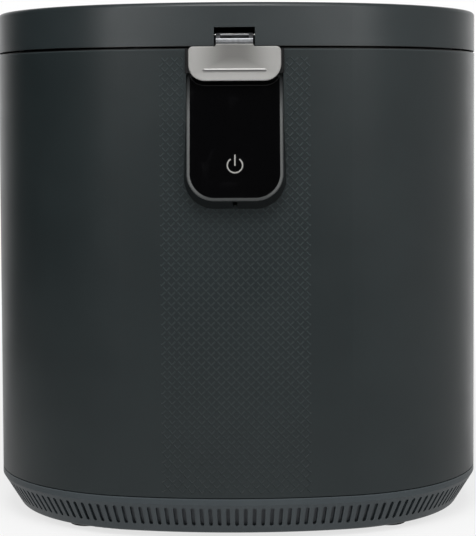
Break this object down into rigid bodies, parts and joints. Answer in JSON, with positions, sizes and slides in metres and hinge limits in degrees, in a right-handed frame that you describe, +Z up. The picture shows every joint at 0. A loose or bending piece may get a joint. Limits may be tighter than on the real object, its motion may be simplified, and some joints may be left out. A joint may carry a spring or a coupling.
{
  "type": "electric food waste composter",
  "caption": "Rounded counter-top food waste composter with a latched hinged lid, heated bucket with grinder, tilted control panel, fan and rear filter drawer.",
  "frame": {"origin": "middle of the machine's box, on the surface it stands on", "axes": "+Z up, the control panel faces -Y, +X is to the right seen from the front"},
  "size_m": [0.331, 0.2995, 0.3433],
  "materials": {
    "case_plastic": "fine satin texture, charcoal with a slight green tint",
    "base_plastic": "satin, slightly lighter charcoal",
    "inner_plastic": "satin black",
    "black_plastic": "matte black",
    "panel_glass": "glossy black lens",
    "mark_white": "pale printed sign",
    "steel_brushed": "brushed, polished edge",
    "steel_bright": "bright pin steel",
    "zinc_cast": "satin casting",
    "sheet_steel": "plain sheet",
    "aluminium": "cast or drawn",
    "coated_aluminium": "dark non-stick coat",
    "coated_steel": "dark non-stick coat on steel",
    "brass": "turned",
    "rubber": "matte",
    "gasket_rubber": "grey silicone",
    "felt": "mineral felt",
    "carbon": "packed charcoal grains",
    "gear_plastic": "acetal",
    "board_green": "circuit board",
    "copper": "enamelled copper"
  },
  "bodies": {
    "machine": {"base_ring": "base_plastic", "base_plate": "inner_plastic", "rubber_feet": "rubber", "support_posts": "sheet_steel", "chassis_plate": "sheet_steel", "case_screws": "steel_bright", "body_shell": "case_plastic", "top_deck": "inner_plastic", "heater_well": "aluminium", "heater_plate": "aluminium", "heater_element": "sheet_steel", "temperature_probe": "brass", "insulation_jacket": "felt", "shaft_seal": "rubber", "gearbox_case": "zinc_cast", "gearbox_cover": "zinc_cast", "motor_case": "sheet_steel", "motor_stator": "copper", "fan_housing": "inner_plastic", "fan_cover": "inner_plastic", "fan_motor": "sheet_steel", "intake_duct": "inner_plastic", "intake_grille": "black_plastic", "filter_bay": "inner_plastic", "main_board": "board_green", "board_parts": "inner_plastic", "power_inlet": "black_plastic", "inlet_pins": "steel_bright", "panel_housing": "case_plastic", "panel_glass": "panel_glass", "power_mark": "mark_white", "panel_board": "board_green", "latch_pocket": "black_plastic", "catch_spring": "steel_bright", "hinge_base": "case_plastic", "hinge_pins": "steel_bright"},
    "output": {"output_gear": "gear_plastic", "output_shaft": "steel_bright"},
    "idler": {"idler_gear": "gear_plastic"},
    "motor": {"motor_rotor": "sheet_steel", "motor_pinion": "brass"},
    "bucket": {"bucket_pot": "coated_aluminium", "bucket_bush": "brass", "bucket_grips": "black_plastic", "fixed_blades": "steel_bright"},
    "grinder": {"grinder_rotor": "coated_steel", "rotor_coupling": "zinc_cast"},
    "fan": {"fan_impeller": "black_plastic"},
    "filter_drawer": {"drawer_front": "case_plastic", "filter_tray": "black_plastic", "carbon_pack": "carbon", "filter_mesh": "gear_plastic"},
    "latch": {"latch_plate": "steel_brushed", "latch_lever": "zinc_cast"},
    "lid": {"latch_pin": "steel_bright", "lid_hinge_arms": "case_plastic", "lid_shell": "case_plastic", "lid_liner": "inner_plastic", "lid_gasket": "gasket_rubber", "lid_screws": "steel_bright"}
  },
  "joints": [
    {"name": "lid_hinge", "type": "hinge", "parent": "machine", "child": "lid", "pos_m": [0, 0.143, 0.3134], "axis": [-1, 0, 0], "range_deg": [0, 95], "deforming": ["catch_spring"]},
    {"name": "latch_swing", "type": "hinge", "parent": "lid", "child": "latch", "pos_m": [0, -0.1325, 0.3212], "axis": [-1, 0, 0], "range_deg": [0, 45]},
    {"name": "bucket_lift", "type": "slide", "parent": "machine", "child": "bucket", "axis": [0, 0, 1], "range_m": [0, 0.005]},
    {"name": "grinder_spin", "type": "hinge", "parent": "bucket", "child": "grinder", "pos_m": [0, 0.001, 0.15], "axis": [0, 0, 1], "continuous": true},
    {"name": "output_spin", "type": "hinge", "parent": "machine", "child": "output", "pos_m": [0, 0.001, 0.1], "axis": [0, 0, 1], "continuous": true},
    {"name": "idler_spin", "type": "hinge", "parent": "machine", "child": "idler", "pos_m": [-0.0525, 0.001, 0.1], "axis": [0, 0, 1], "continuous": true},
    {"name": "motor_spin", "type": "hinge", "parent": "machine", "child": "motor", "pos_m": [-0.0825, 0.001, 0.1], "axis": [0, 0, 1], "continuous": true},
    {"name": "fan_spin", "type": "hinge", "parent": "machine", "child": "fan", "pos_m": [0.104, 0.074, 0.08], "axis": [0, 0, 1], "continuous": true},
    {"name": "drawer_slide", "type": "slide", "parent": "machine", "child": "filter_drawer", "axis": [0, 1, 0], "range_m": [0, 0.09]}
  ],
  "couplings": [
    {"joint": "output_spin", "follows": "grinder_spin", "ratio": 1},
    {"joint": "idler_spin", "follows": "grinder_spin", "ratio": -4},
    {"joint": "motor_spin", "follows": "grinder_spin", "ratio": 16}
  ]
}
